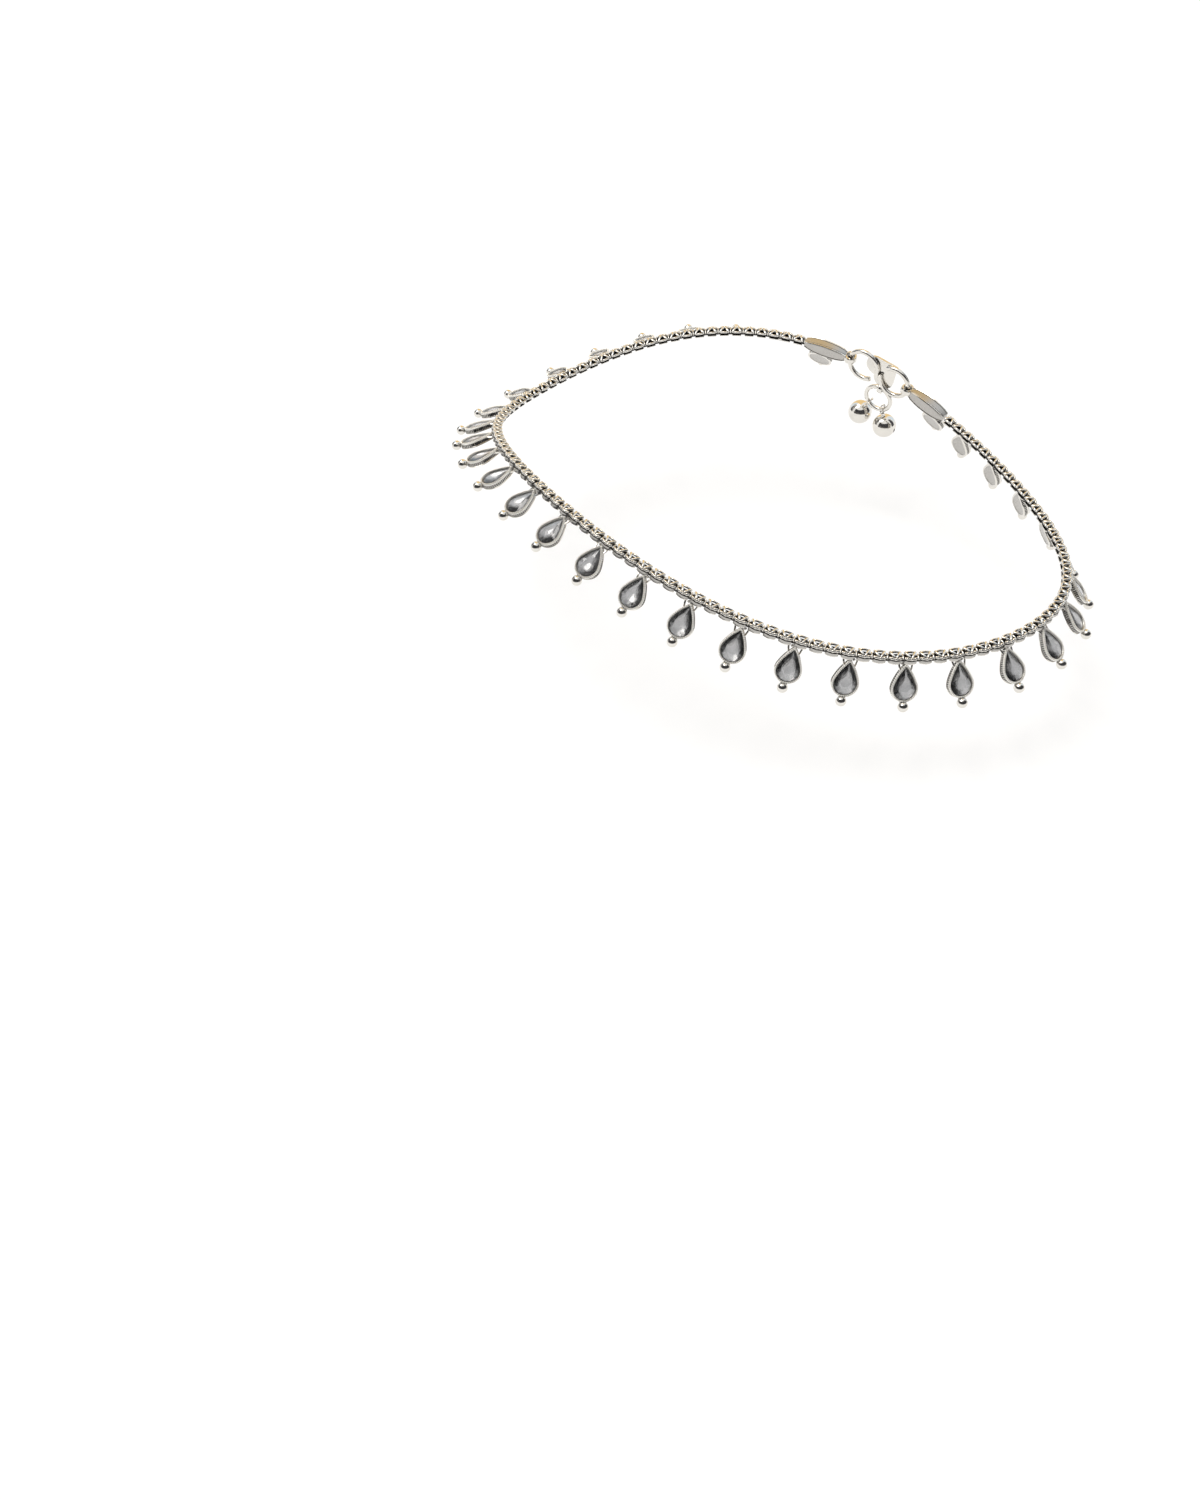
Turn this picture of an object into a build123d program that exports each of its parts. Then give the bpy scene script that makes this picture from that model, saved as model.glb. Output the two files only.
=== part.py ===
from build123d import *
import math
import os

# Payal anklet: a closed band of interlocking ladder links round an open ankle hollow.
# Millimetres, +Z up.  The origin is the middle of the ankle hollow, the instep lies at -X
# and the heel at +X.  A link's own frame has X along the band, Y outward and Z up.  A drop's
# own frame has X along the band, Y down the drop and Z out of its face.

# --- the line that the band follows -----------------------------------------------------
HALF_LONG = 52.2                # middle of the hollow to the band at the instep and the heel
HALF_WIDE = 39.2                # middle of the hollow to the band at either side
SIDE_FULLNESS = -0.03           # how much fuller than an ellipse the instep and heel are
RISE = (6.0, -3.1, -2.5)        # height of the band: shares of cos t, cos 2t and cos 3t
LEAN = (48.5, 24.6, 8.4, -11.6)  # outward lean of the drops: shares of 1, cos t to cos 3t
LINK_LEAN = (6.4, 16.5, 8.6)    # outward lean of the links: shares of 1, cos t and sin t
LINE_STEPS = 1440

# --- links --------------------------------------------------------------------------------
LINK_PLACES = 122               # link lengths round the whole line, clasp included
CLASP_PLACE = 30.05             # middle of the clasp, in link lengths from the instep
CLASP_PLACES = 14               # last link's middle to the first link's, across the clasp
LINK_GAP = 0.42
LINK_DEEP = 1.7
LINK_HIGH = 1.2
LEAF_THICK = 0.32
FRONT_BAR = 0.56
BACK_SHARE = 0.62               # back edge of a leaf over its front edge
POST_SIDE = 0.26
POST_FORWARD = 0.38
TONGUE_THICK = 0.2
EYE_HOLE = 0.62
EYE_WALL = 0.15

# --- drops --------------------------------------------------------------------------------
DROP_COUNT = 31
FIRST_DROP = 1.25               # place of the first drop and from drop to drop, in link lengths
DROP_PITCH = 3.5
DROP_FORWARD = 0.4              # band's middle line forward and down to a pear cup's tip
DROP_TOP = 0.75
PEAR_LONG = 5.9
PEAR_ROUND = 2.08               # radius of the pear's round end
PEAR_FLANK = 9.0                # radius of the pear's long sides
CUP_DEEP = 1.1
CUP_WALL = 0.3
CUP_FLOOR = 0.25
BALL_RADIUS = 0.85
BALL_SINK = 0.1
BALL_FORWARD = 0.25             # ball's middle in front of the cup's middle plane
BRACKET_TOP_HALF = 0.66
BRACKET_FOOT_HALF = 0.35
BRACKET_RISE = 0.45
BRACKET_LONG = 1.7
BRACKET_THICK = 0.5
BRACKET_BACK = 0.45

# --- stones -------------------------------------------------------------------------------
STONE_GAP = 0.08
STONE_SINK = 0.15               # table below the bezel's rim
STONE_CROWN = 0.3
STONE_GIRDLE = 0.1
STONE_PAVILION = 0.2
TABLE_SHARE = 0.58
CULET_SHARE = 0.5
PEAR_ROUND_CORNERS = 7
ROUND_CORNERS = 10

# --- terminals ----------------------------------------------------------------------------
TERMINAL_LONG = 9.3             # end of the band to the middle of the eye
TERMINAL_SECTIONS = (           # along, deep, high
    (0.19, 1.7, 1.2),
    (3.2, 1.9, 2.5),
    (6.4, 1.8, 2.1),
    (8.4, 1.5, 1.2),
)
TERMINAL_SLOT = 1.2
HOOK_EYE_HOLE = 0.72
HOOK_EYE_RADIUS = 1.2
HOOK_EYE_HIGH = 1.3
ROUND_BEZEL = 2.4
ROUND_BEZEL_ALONG = 3.1
ROUND_BEZEL_TOP = 1.15          # band's middle line down to where the collar starts
ROUND_DROP_TILT = 25.0          # lean of a round drop against its terminal, degrees
COLLAR_LONG = 1.1
COLLAR_WIDE = 1.5
COLLAR_THICK = 0.9
COLLAR_SINK = 0.28
TERMINAL_BALL = 0.75
RIB_COUNT = 5
RIB_START = 2.0
RIB_PITCH = 1.3
RIB_ANGLE = 38.0
RIB_SIZE = (0.42, 0.5, 1.15)
RIB_HIGH = 0.5
RIB_MIDDLE = 0.83

# --- heart clasp, ring and bells ------------------------------------------------------------
HOOK_WIRE = 0.47                # wire sizes are radii
HOOK_RADIUS = 3.0
HOOK_ARC = 310.0
HEART_SIDE = 4.16               # side of the square that the heart is drawn on
HEART_THICK = 0.9
HEART_BACK = 0.3
HEART_TAPER = 35.0              # slope of the heart's softened edge
TAB_RADIUS = 0.95               # curled tab that holds the bell ring
TAB_HOLE = 0.57
TAB_WIDE = 0.9
TAB_REACH = 0.65                # edge of the heart to the middle of the tab
BELL_RING_RADIUS = 2.63
BELL_RING_WIRE = 0.42
BELL_RADIUS = 2.3
BELL_SHELL = 0.35
BELL_SLOT = 0.5
BELL_LOOP_RADIUS = 0.85
BELL_LOOP_WIRE = 0.22
BELL_STEM = 0.6                 # loop to ball
BELL_STEM_RADIUS = 0.33
BELL_SPREAD = 35.0              # where a bell hangs on the ring, degrees from its lowest point
BELL_SPLAY = 20.0               # lean of a bell away from the other


# ============================== line and frames ==============================


def line_point(turn):
    """Point of the band's line; turn is 0 at the instep and grows along the far side."""
    wide = HALF_WIDE * (1 + SIDE_FULLNESS * math.cos(2 * turn))
    high = sum(share * math.cos(count * turn) for count, share in enumerate(RISE, 1))
    return Vector(-HALF_LONG * math.cos(turn), wide * math.sin(turn), high)


def measured_line():
    """Turn and distance run at each step round the line."""
    turns = [2 * math.pi * step / LINE_STEPS for step in range(LINE_STEPS + 1)]
    run = [0.0]
    for before, after in zip(turns, turns[1:]):
        run.append(run[-1] + (line_point(after) - line_point(before)).length)
    return turns, run


TURNS, RUN = measured_line()
LINE_LONG = RUN[-1]
PITCH = LINE_LONG / LINK_PLACES
LINK_HALF = (PITCH - LINK_GAP) / 2
POST_ALONG = LINK_HALF - POST_SIDE / 2
SLOT_HIGH = LINK_HIGH - 2 * LEAF_THICK
LINK_COUNT = LINK_PLACES - CLASP_PLACES + 1
CLASP_MIDDLE = CLASP_PLACE * PITCH
HOOK_REACH = (CLASP_PLACES - 1) * PITCH / 2 - TERMINAL_LONG  # clasp's middle to an eye


def turn_at(distance):
    """Turn at a distance run along the line."""
    distance = distance % LINE_LONG
    step = next(n for n in range(LINE_STEPS) if RUN[n + 1] >= distance)
    share = (distance - RUN[step]) / (RUN[step + 1] - RUN[step])
    return TURNS[step] + share * (TURNS[step + 1] - TURNS[step])


def link_lean(turn):
    """Outward lean of the band at a turn, degrees."""
    level, heelward, sideward = LINK_LEAN
    return level + heelward * math.cos(turn) + sideward * math.sin(turn)


def band_plane(start, end, share=0.5):
    """Frame on the chord between two distances, a share of the way along it."""
    first = line_point(turn_at(start))
    chord = line_point(turn_at(end)) - first
    along = chord.normalized()
    outward = Vector(0, 0, 1).cross(along).normalized()
    upright = along.cross(outward)
    lean = math.radians(link_lean(turn_at((start + end) / 2)))
    up = upright * math.cos(lean) - outward * math.sin(lean)
    return Plane(origin=first + chord * share, x_dir=along, z_dir=up)


def link_middle(index):
    """Distance along the line of one link's middle, counted from the clasp."""
    return CLASP_MIDDLE + (CLASP_PLACES / 2 + index) * PITCH


def link_location(index):
    """Place of one link of the band."""
    middle = link_middle(index)
    return band_plane(middle - PITCH / 2, middle + PITCH / 2).location


def drop_tilt(index):
    """Lean of a drop against its link, degrees."""
    turn = turn_at(link_middle(index))
    lean = sum(part * math.cos(count * turn) for count, part in enumerate(LEAN))
    return lean - link_lean(turn)


def drop_location(tilt, along=0.0, top=DROP_TOP):
    """A drop's own frame in its link's or terminal's frame, on the cup's middle plane."""
    facing = (0, math.cos(math.radians(tilt)), math.sin(math.radians(tilt)))
    return Plane(origin=(along, DROP_FORWARD, -top), x_dir=(1, 0, 0), z_dir=facing).location


# ================================== outlines ==================================


def pear_outline(inset):
    """Tip, flank point, shoulder and foot of the pear outline, drawn an inset inside it."""
    centre = PEAR_LONG - PEAR_ROUND
    offset = PEAR_FLANK - PEAR_ROUND
    sine = (PEAR_FLANK**2 - centre**2 - offset**2) / (2 * centre * offset)
    angle = math.asin(sine)
    flank_x = -offset * math.cos(angle)
    flank_y = centre + offset * sine
    radius = PEAR_FLANK - inset
    tip_angle = math.acos(-flank_x / radius)
    middle_angle = (tip_angle + angle) / 2
    tip = (0.0, flank_y - radius * math.sin(tip_angle))
    flank = (
        flank_x + radius * math.cos(middle_angle),
        flank_y - radius * math.sin(middle_angle),
    )
    return tip, flank, angle, centre, PEAR_ROUND - inset


def pear_face(inset):
    """Pear of arcs, its tip at the origin and its round end along +Y."""
    tip, flank, angle, centre, radius = pear_outline(inset)
    shoulder = (radius * math.cos(angle), centre - radius * math.sin(angle))
    with BuildSketch() as pear:
        with BuildLine():
            ThreePointArc(tip, flank, shoulder)
            ThreePointArc(shoulder, (0, centre + radius), (-shoulder[0], shoulder[1]))
            ThreePointArc((-shoulder[0], shoulder[1]), (-flank[0], flank[1]), tip)
        make_face()
    return pear.sketch


def pear_corners(inset):
    """Corners of a faceted pear on the same outline."""
    tip, flank, angle, centre, radius = pear_outline(inset)
    step = (math.pi + 2 * angle) / (PEAR_ROUND_CORNERS - 1)
    corners = [tip, flank]
    for count in range(PEAR_ROUND_CORNERS):
        around = -angle + count * step
        corners.append((radius * math.cos(around), centre + radius * math.sin(around)))
    corners.append((-flank[0], flank[1]))
    return corners


def round_corners(radius):
    """Corners of a faceted round stone in a drop's frame."""
    middle = COLLAR_LONG + ROUND_BEZEL
    turns = [2 * math.pi * count / ROUND_CORNERS for count in range(ROUND_CORNERS)]
    return [(radius * math.cos(turn), middle + radius * math.sin(turn)) for turn in turns]


def shrunk(corners, share):
    """The same corners drawn in towards their middle."""
    middle_x = sum(x for x, _ in corners) / len(corners)
    middle_y = sum(y for _, y in corners) / len(corners)
    return [
        (middle_x + share * (x - middle_x), middle_y + share * (y - middle_y))
        for x, y in corners
    ]


# =================================== links ====================================


def link_frame():
    """Two leaves, narrow at the back, on two posts."""
    front = LINK_DEEP / 2
    back_half = LINK_HALF * BACK_SHARE
    right = [(LINK_HALF, front), (LINK_HALF, front - FRONT_BAR), (back_half, -front)]
    left = [(-x, y) for x, y in reversed(right)]
    with BuildPart() as frame:
        with BuildSketch(Plane.XY.offset(-LINK_HIGH / 2)):
            with BuildLine():
                Polyline(*right, *left, close=True)
            make_face()
        extrude(amount=LINK_HIGH)
        Box(PITCH, LINK_DEEP, SLOT_HIGH, mode=Mode.SUBTRACT)
        with Locations((POST_ALONG, POST_FORWARD, 0), (-POST_ALONG, POST_FORWARD, 0)):
            Box(POST_SIDE, POST_SIDE, SLOT_HIGH)
    return frame.part


def tongue(root, eye):
    """Flat tongue from a root to an eye, both given along X, round a post of the next piece."""
    half_wide = EYE_HOLE / 2 + EYE_WALL
    tip = eye + math.copysign(half_wide, eye - root)
    with BuildPart() as strip:
        with Locations(((root + tip) / 2, POST_FORWARD, 0)):
            Box(abs(tip - root), 2 * half_wide, TONGUE_THICK)
        with Locations((eye, POST_FORWARD, 0)):
            Box(EYE_HOLE, EYE_HOLE, TONGUE_THICK, mode=Mode.SUBTRACT)
    return strip.part


def plain_link():
    """A link of the band; its tongue holds the next link's post."""
    with BuildPart() as link:
        add(link_frame())
        add(tongue(LINK_HALF, PITCH - POST_ALONG))
    return link.part


# =================================== drops ====================================


def cup(outline, inside, ball_middle, ball_radius):
    """Closed cup of an outline with a ball at its foot."""
    with BuildPart() as cup_part:
        with BuildSketch(Plane.XY.offset(-CUP_DEEP / 2)):
            add(outline)
        extrude(amount=CUP_DEEP)
        with Locations(ball_middle):
            Sphere(ball_radius)
        with BuildSketch(Plane.XY.offset(CUP_FLOOR - CUP_DEEP / 2)):
            add(inside)
        extrude(amount=CUP_DEEP, mode=Mode.SUBTRACT)
    return cup_part.part


def pear_drop():
    """Pear cup with its ball, and two wings that rise behind its tip to the link."""
    ball_middle = (0, PEAR_LONG + BALL_RADIUS - BALL_SINK, BALL_FORWARD)
    with BuildPart() as drop:
        add(cup(pear_face(0), pear_face(CUP_WALL), ball_middle, BALL_RADIUS))
        with BuildSketch(Plane.XY.offset(-BRACKET_BACK)):
            Polygon(
                (-BRACKET_TOP_HALF, -BRACKET_RISE),
                (BRACKET_TOP_HALF, -BRACKET_RISE),
                (BRACKET_TOP_HALF, BRACKET_RISE),
                (BRACKET_FOOT_HALF, BRACKET_LONG),
                (-BRACKET_FOOT_HALF, BRACKET_LONG),
                (-BRACKET_TOP_HALF, BRACKET_RISE),
                align=None,
            )
        extrude(amount=BRACKET_THICK)
        with BuildSketch(Plane.XY.offset(CUP_FLOOR - CUP_DEEP / 2)):
            add(pear_face(CUP_WALL))
        extrude(amount=CUP_DEEP, mode=Mode.SUBTRACT)
    return drop.part


def drop_link(link, drop, index, side):
    """A link with its drop off to one side of its middle."""
    with BuildPart() as joined:
        add(link)
        with Locations(drop_location(drop_tilt(index), side)):
            add(drop)
    return joined.part


# =================================== stones ===================================


def cut_stone(corners):
    """Stone with a table, a crown, a girdle and a pavilion, set below a cup's rim."""
    table = Plane.XY.offset(CUP_DEEP / 2 - STONE_SINK)
    crown_foot = table.offset(-STONE_CROWN)
    girdle_foot = crown_foot.offset(-STONE_GIRDLE)
    culet = girdle_foot.offset(-STONE_PAVILION)
    with BuildPart() as stone:
        with BuildSketch(table):
            Polygon(*shrunk(corners, TABLE_SHARE), align=None)
        with BuildSketch(crown_foot):
            Polygon(*corners, align=None)
        with BuildSketch(girdle_foot):
            Polygon(*corners, align=None)
        with BuildSketch(culet):
            Polygon(*shrunk(corners, CULET_SHARE), align=None)
        loft(ruled=True)
    return stone.part


# ================================= terminals ==================================


def terminal_leaf():
    """Tapered casting with a slot for the band, an eye for the hook and leaf ribs."""
    with BuildPart() as leaf:
        for along, deep, high in TERMINAL_SECTIONS:
            with BuildSketch(Plane.YZ.offset(along)):
                Rectangle(deep, high)
        loft(ruled=True)
        for count in range(RIB_COUNT):
            along = RIB_START + count * RIB_PITCH
            upper = Location((along, RIB_MIDDLE, RIB_HIGH), (0, RIB_ANGLE, 0))
            lower = Location((along, RIB_MIDDLE, -RIB_HIGH), (0, -RIB_ANGLE, 0))
            with Locations(upper, lower):
                Box(*RIB_SIZE)
        with Locations((TERMINAL_LONG, 0, 0)):
            Cylinder(HOOK_EYE_RADIUS, HOOK_EYE_HIGH)
            Cylinder(HOOK_EYE_HOLE, 2 * HOOK_EYE_HIGH, mode=Mode.SUBTRACT)
        with Locations((TERMINAL_SLOT / 2, 0, 0)):
            Box(TERMINAL_SLOT, 2 * LINK_DEEP, SLOT_HIGH, mode=Mode.SUBTRACT)
    return leaf.part


def round_drop():
    """Collar, round closed cup and ball under a terminal, in a drop's frame."""
    middle = COLLAR_LONG + ROUND_BEZEL
    ball_middle = (0, middle + ROUND_BEZEL + TERMINAL_BALL - BALL_SINK, BALL_FORWARD)
    outline = round_face(0)
    with BuildPart() as drop:
        with BuildSketch(Plane.XY.offset(-COLLAR_THICK / 2)):
            with Locations((0, COLLAR_LONG / 2)):
                Rectangle(COLLAR_WIDE, COLLAR_LONG + 2 * COLLAR_SINK)
        extrude(amount=COLLAR_THICK)
        add(cup(outline, round_face(CUP_WALL), ball_middle, TERMINAL_BALL))
    return drop.part


def round_face(inset):
    """Round outline of a terminal's cup in a drop's frame, drawn an inset inside it."""
    with BuildSketch() as face:
        with Locations((0, COLLAR_LONG + ROUND_BEZEL)):
            Circle(ROUND_BEZEL - inset)
    return face.sketch


def round_drop_location():
    """A round drop's frame in its terminal's frame."""
    return drop_location(ROUND_DROP_TILT, ROUND_BEZEL_ALONG, ROUND_BEZEL_TOP)


def first_terminal():
    """Terminal whose tongue holds the first link's post; it points away from the band."""
    with BuildPart() as terminal:
        add(terminal_leaf())
        with Locations(round_drop_location()):
            add(round_drop())
        add(tongue(TERMINAL_SLOT, POST_ALONG - PITCH / 2))
    return mirror(terminal.part, about=Plane.YZ)


def last_terminal():
    """Terminal with a post for the last link's tongue."""
    with BuildPart() as terminal:
        add(terminal_leaf())
        with Locations(round_drop_location()):
            add(round_drop())
        with Locations((PITCH / 2 - POST_ALONG, POST_FORWARD, 0)):
            Box(POST_SIDE, POST_SIDE, SLOT_HIGH)
    return terminal.part


# ============================ heart clasp and bells ===========================


def heart_clasp():
    """Heart plate with two open hook rings behind it and a curled tab under its lower lobe."""
    lobe = HEART_SIDE / 4
    ring_middle = HOOK_REACH - HOOK_RADIUS
    tab_middle = (lobe, HEART_BACK + HEART_THICK / 2, -3 * lobe - TAB_REACH)
    back = Plane(origin=(0, HEART_BACK, 0), x_dir=(-1, 0, 0), z_dir=(0, 1, 0))
    with BuildPart() as clasp:
        with BuildSketch(back):
            with Locations((-lobe, lobe)):
                Rectangle(HEART_SIDE, HEART_SIDE)
            with Locations((lobe, lobe), (-lobe, -lobe)):
                Circle(HEART_SIDE / 2)
        extrude(amount=HEART_THICK / 2)
        face = clasp.faces().sort_by(Axis.Y)[-1]
        extrude(face, amount=HEART_THICK / 2, taper=HEART_TAPER)
        near_ring = Location((-ring_middle, 0, 0), (90, 0, 0))
        far_ring = Location((ring_middle, 0, 0), (90, 0, 180))
        with Locations(near_ring, far_ring):
            Torus(HOOK_RADIUS, HOOK_WIRE, major_angle=HOOK_ARC)
        with Locations(Location(tab_middle, (0, 90, 0))):
            Cylinder(TAB_RADIUS, TAB_WIDE)
            Cylinder(TAB_HOLE, 2 * TAB_WIDE, mode=Mode.SUBTRACT)
    return clasp.part


def bell_ring_middle():
    """Middle of the bell ring in the clasp's frame; its top lies in the heart's tab."""
    lobe = HEART_SIDE / 4
    tab_high = -3 * lobe - TAB_REACH
    return Vector(lobe, HEART_BACK + HEART_THICK / 2, tab_high - BELL_RING_RADIUS)


def bell_ring():
    """Closed jump ring, flat to the ankle."""
    with BuildPart() as ring:
        with Locations(Location(bell_ring_middle(), (90, 0, 0))):
            Torus(BELL_RING_RADIUS, BELL_RING_WIRE)
    return ring.part


def bell(side):
    """Hollow bell with a slot, hung by a wire loop on one side of the ring."""
    spread = math.radians(side * BELL_SPREAD)
    hung = bell_ring_middle() + Vector(math.sin(spread), 0, -math.cos(spread)) * BELL_RING_RADIUS
    middle = -(BELL_LOOP_RADIUS + BELL_STEM + BELL_RADIUS)
    stem_long = BELL_STEM + BELL_SHELL
    stem_middle = -BELL_LOOP_RADIUS - stem_long / 2
    with BuildPart() as ball:
        with Locations((0, 0, middle)):
            Sphere(BELL_RADIUS)
        with Locations((0, 0, stem_middle)):
            Cylinder(BELL_STEM_RADIUS, stem_long)
        with Locations((0, 0, middle)):
            Sphere(BELL_RADIUS - BELL_SHELL, mode=Mode.SUBTRACT)
        with Locations((0, 0, middle - BELL_RADIUS / 2)):
            Box(2 * BELL_RADIUS, BELL_SLOT, BELL_RADIUS, mode=Mode.SUBTRACT)
        with Locations(Location((0, 0, 0), (0, 90, 0))):
            Torus(BELL_LOOP_RADIUS, BELL_LOOP_WIRE)
    return Location(hung, (0, -side * BELL_SPLAY, 0)) * ball.part


# =================================== writing ==================================


def place(name, shape, *locations):
    """Put a shape at its places, label it and write it."""
    with BuildPart() as piece:
        with Locations(*locations):
            add(shape)
    piece.part.label = name
    export_step(piece.part, f"parts/{name}.step")
    print(name, len(piece.part.solids()), "solids")


os.makedirs("parts", exist_ok=True)
print("loop", round(LINE_LONG, 1), "pitch", round(PITCH, 3), "hook reach", round(HOOK_REACH, 2))

drop_places = [FIRST_DROP + count * DROP_PITCH for count in range(DROP_COUNT)]
drop_indices = [round(drop_place) for drop_place in drop_places]
drop_sides = [(drop_place - round(drop_place)) * PITCH for drop_place in drop_places]
plain_locations = [link_location(index) for index in range(LINK_COUNT) if index not in drop_indices]
band_end = CLASP_PLACES / 2 - 0.5
first_end = CLASP_MIDDLE + band_end * PITCH
last_end = CLASP_MIDDLE - band_end * PITCH
first_location = band_plane(first_end - TERMINAL_LONG, first_end, 1).location
last_location = band_plane(last_end, last_end + TERMINAL_LONG, 0).location
clasp_location = band_plane(CLASP_MIDDLE - HOOK_REACH, CLASP_MIDDLE + HOOK_REACH).location

link = plain_link()
drop = pear_drop()
place("band_links", link, *plain_locations)
stone_locations = []
for number, (index, side) in enumerate(zip(drop_indices, drop_sides), 1):
    place(f"drop_{number:02d}", drop_link(link, drop, index, side), link_location(index))
    stone_locations.append(link_location(index) * drop_location(drop_tilt(index), side))
place("pear_stones", cut_stone(pear_corners(CUP_WALL + STONE_GAP)), *stone_locations)
place("first_terminal", first_terminal(), first_location)
place("last_terminal", last_terminal(), last_location)
round_stone = cut_stone(round_corners(ROUND_BEZEL - CUP_WALL - STONE_GAP))
last_gem = round_drop_location() * round_stone
place("last_stone", last_gem, last_location)
place("first_stone", mirror(last_gem, about=Plane.YZ), first_location)
place("heart_clasp", heart_clasp(), clasp_location)
place("bell_ring", bell_ring(), clasp_location)
place("front_bell", bell(1), clasp_location)
place("back_bell", bell(-1), clasp_location)
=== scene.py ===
import bisect
import math

import bmesh
import bpy
from mathutils import Matrix, Vector


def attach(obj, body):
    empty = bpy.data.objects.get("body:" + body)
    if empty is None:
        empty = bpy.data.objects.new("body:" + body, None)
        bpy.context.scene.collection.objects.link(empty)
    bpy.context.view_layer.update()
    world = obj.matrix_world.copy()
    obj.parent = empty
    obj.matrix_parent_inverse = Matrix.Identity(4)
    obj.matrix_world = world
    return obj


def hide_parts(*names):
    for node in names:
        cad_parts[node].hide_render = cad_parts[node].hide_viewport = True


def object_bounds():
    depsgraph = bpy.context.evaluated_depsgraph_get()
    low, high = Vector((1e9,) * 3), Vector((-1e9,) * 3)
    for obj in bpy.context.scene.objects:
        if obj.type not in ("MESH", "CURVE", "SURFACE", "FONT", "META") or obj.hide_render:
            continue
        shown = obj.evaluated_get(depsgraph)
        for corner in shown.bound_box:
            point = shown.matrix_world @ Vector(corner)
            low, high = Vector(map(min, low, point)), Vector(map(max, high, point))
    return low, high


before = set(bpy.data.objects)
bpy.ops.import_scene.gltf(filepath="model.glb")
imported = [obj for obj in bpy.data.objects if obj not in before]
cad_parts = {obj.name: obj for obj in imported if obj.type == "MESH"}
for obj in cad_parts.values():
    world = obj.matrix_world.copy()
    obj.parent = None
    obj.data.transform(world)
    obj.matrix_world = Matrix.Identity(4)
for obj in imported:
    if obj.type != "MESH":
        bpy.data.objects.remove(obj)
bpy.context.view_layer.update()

# Payal anklet.  Shapes are drawn in millimetres in their own frames and set in the row frame,
# in metres.  A link's frame has X along the band, Y outward and Z up.  A drop's frame has X
# along the band, Y down the drop and Z out of its face.

MM = 0.001

# --- line of the band ---------------------------------------------------------------------
HALF_LONG = 52.2
HALF_WIDE = 39.2
SIDE_FULLNESS = -0.03
RISE = (6.0, -3.1, -2.5)
LEAN = (48.5, 24.6, 8.4, -11.6)
LINK_LEAN = (6.4, 16.5, 8.6)
LINE_STEPS = 1440
LINK_PLACES = 122
CLASP_PLACE = 30.05
CLASP_PLACES = 14
LINK_GAP = 0.42
LINK_DEEP = 1.7
LINK_HIGH = 1.2

# --- drops ----------------------------------------------------------------------------------
DROP_COUNT = 31
FIRST_DROP = 1.25
DROP_PITCH = 3.5
DROP_FORWARD = 0.4
DROP_TOP = 0.75
PEAR_LONG = 5.9
PEAR_ROUND = 2.08
PEAR_FLANK = 9.0
CUP_DEEP = 1.1
BALL_FORWARD = 0.25
BALL_RADIUS = 0.85
BALL_SINK = 0.1

# --- terminals and clasp ----------------------------------------------------------------------
TERMINAL_LONG = 9.3
ROUND_BEZEL = 2.4
ROUND_BEZEL_ALONG = 3.1
ROUND_BEZEL_TOP = 1.15
ROUND_DROP_TILT = 25.0
COLLAR_LONG = 1.1
TERMINAL_BALL = 0.75
HOOK_WIRE = 0.47
HOOK_RADIUS = 3.0
HOOK_ARC = 310.0
HEART_SIDE = 4.16
HEART_THICK = 0.9
HEART_BACK = 0.3
TAB_REACH = 0.65
BELL_RING_RADIUS = 2.63
BELL_RING_WIRE = 0.42
BELL_RADIUS = 2.3
BELL_SLOT = 0.5
BELL_LOOP_RADIUS = 0.85
BELL_STEM = 0.6
BELL_SPREAD = 35.0
BELL_SPLAY = 20.0


# ================================ line and frames ================================


def line_point(turn):
    """Point of the band's line, from the instep round the far side."""
    wide = HALF_WIDE * (1 + SIDE_FULLNESS * math.cos(2 * turn))
    high = sum(share * math.cos(count * turn) for count, share in enumerate(RISE, 1))
    return Vector((-HALF_LONG * math.cos(turn), wide * math.sin(turn), high))


def measured_line():
    """Turn and distance run at each step round the line."""
    turns = [2 * math.pi * step / LINE_STEPS for step in range(LINE_STEPS + 1)]
    run = [0.0]
    for before, after in zip(turns, turns[1:]):
        run.append(run[-1] + (line_point(after) - line_point(before)).length)
    return turns, run


TURNS, RUN = measured_line()
PITCH = RUN[-1] / LINK_PLACES
LINK_HALF = (PITCH - LINK_GAP) / 2
LINK_COUNT = LINK_PLACES - CLASP_PLACES + 1
CLASP_MIDDLE = CLASP_PLACE * PITCH
HOOK_REACH = (CLASP_PLACES - 1) * PITCH / 2 - TERMINAL_LONG


def turn_at(distance):
    """Turn at a distance run along the line."""
    distance = distance % RUN[-1]
    step = min(bisect.bisect_right(RUN, distance) - 1, LINE_STEPS - 1)
    share = (distance - RUN[step]) / (RUN[step + 1] - RUN[step])
    return TURNS[step] + share * (TURNS[step + 1] - TURNS[step])


def axes_matrix(origin, across, forward, up):
    """Matrix of a frame from its origin and its three axes."""
    matrix = Matrix((across, forward, up)).transposed().to_4x4()
    matrix.translation = origin
    return matrix


def link_lean(turn):
    """Outward lean of the band at a turn, degrees."""
    level, heelward, sideward = LINK_LEAN
    return level + heelward * math.cos(turn) + sideward * math.sin(turn)


def band_matrix(start, end, share=0.5):
    """Frame on the chord between two distances, a share of the way along it."""
    first = line_point(turn_at(start))
    chord = line_point(turn_at(end)) - first
    along = chord.normalized()
    outward = Vector((0, 0, 1)).cross(along).normalized()
    upright = along.cross(outward)
    lean = math.radians(link_lean(turn_at((start + end) / 2)))
    up = upright * math.cos(lean) - outward * math.sin(lean)
    return axes_matrix(first + chord * share, along, up.cross(along), up)


def link_middle(index):
    """Distance along the line of one link's middle, counted from the clasp."""
    return CLASP_MIDDLE + (CLASP_PLACES / 2 + index) * PITCH


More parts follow.
